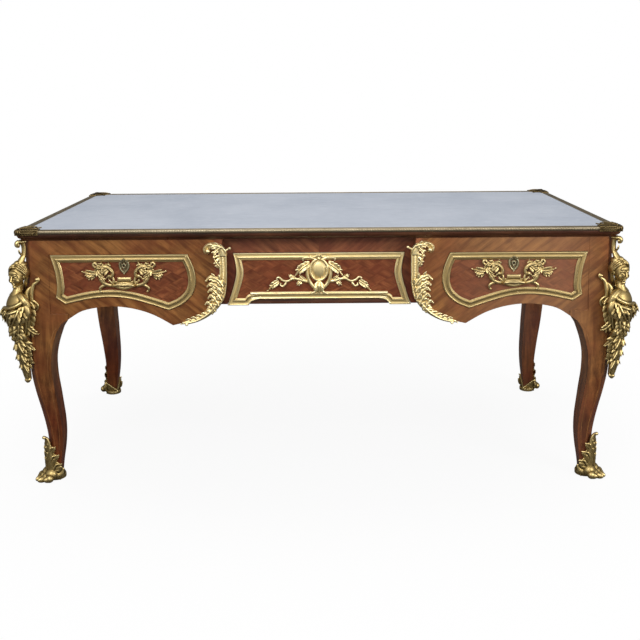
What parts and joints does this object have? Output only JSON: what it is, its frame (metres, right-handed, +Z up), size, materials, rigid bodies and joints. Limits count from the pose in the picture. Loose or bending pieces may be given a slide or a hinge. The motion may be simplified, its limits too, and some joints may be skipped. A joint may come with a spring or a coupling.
{
  "type": "bureau plat",
  "caption": "Flat writing table with a leather top, frieze drawers that lock, curved legs and gilt bronze busts, scrolls, frames and shoes.",
  "frame": {"origin": "on the floor under the middle of the top", "axes": "+X to the right along the front, +Y to the back, +Z up"},
  "size_m": [2.0098, 1.0598, 0.838],
  "materials": {
    "moulding_wood": "dark polished moulding",
    "leather": "pale blue-grey, worn and matt",
    "gilt_bronze": "cast, chased and gilt, darkened in the hollows",
    "leg_veneer": "red-brown veneer with pale stringing, polished",
    "frieze_veneer": "cross-cut banding, polished",
    "drawer_veneer": "lozenge parquetry, polished",
    "drawer_lining": "planed oak, unpolished",
    "lock_steel": "filed steel"
  },
  "bodies": {
    "carcass": {"top_board": "moulding_wood", "leather_panel": "leather", "edge_mouldings_long": "gilt_bronze", "edge_mouldings_short": "gilt_bronze", "corner_clasp_front_left": "gilt_bronze", "corner_clasp_front_right": "gilt_bronze", "corner_clasp_back_left": "gilt_bronze", "corner_clasp_back_right": "gilt_bronze", "leg_front_left": "leg_veneer", "leg_front_right": "leg_veneer", "leg_back_left": "leg_veneer", "leg_back_right": "leg_veneer", "side_apron_left": "frieze_veneer", "side_apron_right": "frieze_veneer", "back_apron": "frieze_veneer", "front_rail": "frieze_veneer", "lower_rail_left": "frieze_veneer", "lower_rail_centre": "frieze_veneer", "lower_rail_right": "frieze_veneer", "partition_left": "frieze_veneer", "partition_right": "frieze_veneer", "drawer_runners": "drawer_lining", "caryatid_front_left": "gilt_bronze", "caryatid_front_right": "gilt_bronze", "caryatid_back_left": "gilt_bronze", "caryatid_back_right": "gilt_bronze", "sabot_front_left": "gilt_bronze", "sabot_front_right": "gilt_bronze", "sabot_back_left": "gilt_bronze", "sabot_back_right": "gilt_bronze", "scroll_front_left": "gilt_bronze", "scroll_front_right": "gilt_bronze", "scrolls_back": "gilt_bronze", "side_frames": "gilt_bronze", "side_mounts": "gilt_bronze", "back_frames": "gilt_bronze", "back_mounts": "gilt_bronze"},
    "drawer_left": {"drawer_front_left": "drawer_veneer", "drawer_box_left": "drawer_lining", "drawer_bottom_left": "drawer_lining", "drawer_frame_left": "gilt_bronze", "drawer_pull_left": "gilt_bronze", "escutcheon_left": "gilt_bronze", "lock_left": "lock_steel"},
    "drawer_centre": {"drawer_front_centre": "drawer_veneer", "drawer_box_centre": "drawer_lining", "drawer_bottom_centre": "drawer_lining", "drawer_frame_centre": "gilt_bronze", "cartouche_centre": "gilt_bronze", "lock_centre": "lock_steel"},
    "drawer_right": {"drawer_front_right": "drawer_veneer", "drawer_box_right": "drawer_lining", "drawer_bottom_right": "drawer_lining", "drawer_frame_right": "gilt_bronze", "drawer_pull_right": "gilt_bronze", "escutcheon_right": "gilt_bronze", "lock_right": "lock_steel"},
    "lock_bolt_left": {"bolt_left": "lock_steel"},
    "lock_bolt_centre": {"bolt_centre": "lock_steel"},
    "lock_bolt_right": {"bolt_right": "lock_steel"}
  },
  "joints": [
    {"name": "drawer_left_slide", "type": "slide", "parent": "carcass", "child": "drawer_left", "axis": [0, -1, 0], "range_m": [0, 0.4]},
    {"name": "drawer_centre_slide", "type": "slide", "parent": "carcass", "child": "drawer_centre", "axis": [0, -1, 0], "range_m": [0, 0.4]},
    {"name": "drawer_right_slide", "type": "slide", "parent": "carcass", "child": "drawer_right", "axis": [0, -1, 0], "range_m": [0, 0.4]},
    {"name": "bolt_left_slide", "type": "slide", "parent": "drawer_left", "child": "lock_bolt_left", "axis": [0, 0, 1], "range_m": [0, 0.008]},
    {"name": "bolt_centre_slide", "type": "slide", "parent": "drawer_centre", "child": "lock_bolt_centre", "axis": [0, 0, 1], "range_m": [0, 0.008]},
    {"name": "bolt_right_slide", "type": "slide", "parent": "drawer_right", "child": "lock_bolt_right", "axis": [0, 0, 1], "range_m": [0, 0.008]}
  ]
}
